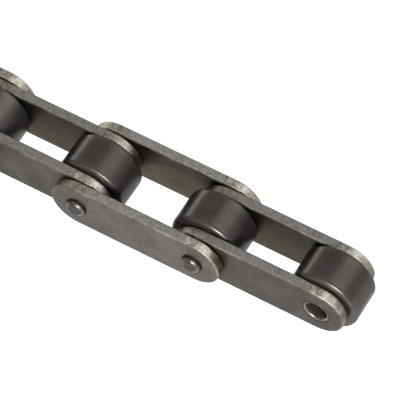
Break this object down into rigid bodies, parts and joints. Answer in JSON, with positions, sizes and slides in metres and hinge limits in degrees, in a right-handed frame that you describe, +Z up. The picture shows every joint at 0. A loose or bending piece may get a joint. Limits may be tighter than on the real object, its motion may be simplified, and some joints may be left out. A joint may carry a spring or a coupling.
{
  "type": "roller chain",
  "caption": "Straight strand of double-pitch conveyor roller chain: straight-sided steel side plates, large plain rollers on bushings, riveted pins and open bushings at both ends.",
  "frame": {"origin": "under the middle of the strand, midway between its two sides, on the surface that the rollers stand on", "axes": "+X along the strand, +Y along the pins, +Z up; the pin axes are 11 mm above the origin"},
  "size_m": [0.2126, 0.0292, 0.022],
  "materials": {
    "inner_plate": "rolled and pierced steel strip, oiled, matt grey-brown, cut edges a paler olive grey",
    "outer_plate": "rolled and pierced steel strip, oiled, matt grey-brown, edges rubbed brighter",
    "bushing": "hardened steel tube, bright chamfered mouth, dark oiled bore",
    "roller": "turned and heat-treated steel, smooth, near-black with an oily sheen",
    "pin": "ground hardened steel, riveted ends with a bright worn rim"
  },
  "bodies": {
    "inner_link_1": {"inner_plate_1_near": "inner_plate", "inner_plate_1_far": "inner_plate", "bushing_1": "bushing", "bushing_2": "bushing"},
    "inner_link_2": {"inner_plate_2_near": "inner_plate", "inner_plate_2_far": "inner_plate", "bushing_3": "bushing", "bushing_4": "bushing"},
    "inner_link_3": {"inner_plate_3_near": "inner_plate", "inner_plate_3_far": "inner_plate", "bushing_5": "bushing", "bushing_6": "bushing"},
    "outer_link_1": {"outer_plate_1_near": "outer_plate", "outer_plate_1_far": "outer_plate", "pin_1": "pin", "pin_2": "pin"},
    "outer_link_2": {"outer_plate_2_near": "outer_plate", "outer_plate_2_far": "outer_plate", "pin_3": "pin", "pin_4": "pin"},
    "roller_1": {"roller_1": "roller"},
    "roller_2": {"roller_2": "roller"},
    "roller_3": {"roller_3": "roller"},
    "roller_4": {"roller_4": "roller"},
    "roller_5": {"roller_5": "roller"},
    "roller_6": {"roller_6": "roller"}
  },
  "joints": [
    {"name": "outer_link_1_hinge", "type": "hinge", "parent": "inner_link_2", "child": "outer_link_1", "pos_m": [0.01905, 0, 0.011], "axis": [0, 1, 0], "range_deg": [-60, 60]},
    {"name": "inner_link_1_hinge", "type": "hinge", "parent": "outer_link_1", "child": "inner_link_1", "pos_m": [0.05715, 0, 0.011], "axis": [0, 1, 0], "range_deg": [-60, 60]},
    {"name": "outer_link_2_hinge", "type": "hinge", "parent": "inner_link_2", "child": "outer_link_2", "pos_m": [-0.01905, 0, 0.011], "axis": [0, -1, 0], "range_deg": [-60, 60]},
    {"name": "inner_link_3_hinge", "type": "hinge", "parent": "outer_link_2", "child": "inner_link_3", "pos_m": [-0.05715, 0, 0.011], "axis": [0, -1, 0], "range_deg": [-60, 60]},
    {"name": "roller_1_spin", "type": "hinge", "parent": "inner_link_1", "child": "roller_1", "pos_m": [0.09525, 0, 0.011], "axis": [0, 1, 0], "continuous": true},
    {"name": "roller_2_spin", "type": "hinge", "parent": "inner_link_1", "child": "roller_2", "pos_m": [0.05715, 0, 0.011], "axis": [0, 1, 0], "continuous": true},
    {"name": "roller_3_spin", "type": "hinge", "parent": "inner_link_2", "child": "roller_3", "pos_m": [0.01905, 0, 0.011], "axis": [0, 1, 0], "continuous": true},
    {"name": "roller_4_spin", "type": "hinge", "parent": "inner_link_2", "child": "roller_4", "pos_m": [-0.01905, 0, 0.011], "axis": [0, 1, 0], "continuous": true},
    {"name": "roller_5_spin", "type": "hinge", "parent": "inner_link_3", "child": "roller_5", "pos_m": [-0.05715, 0, 0.011], "axis": [0, 1, 0], "continuous": true},
    {"name": "roller_6_spin", "type": "hinge", "parent": "inner_link_3", "child": "roller_6", "pos_m": [-0.09525, 0, 0.011], "axis": [0, 1, 0], "continuous": true}
  ]
}
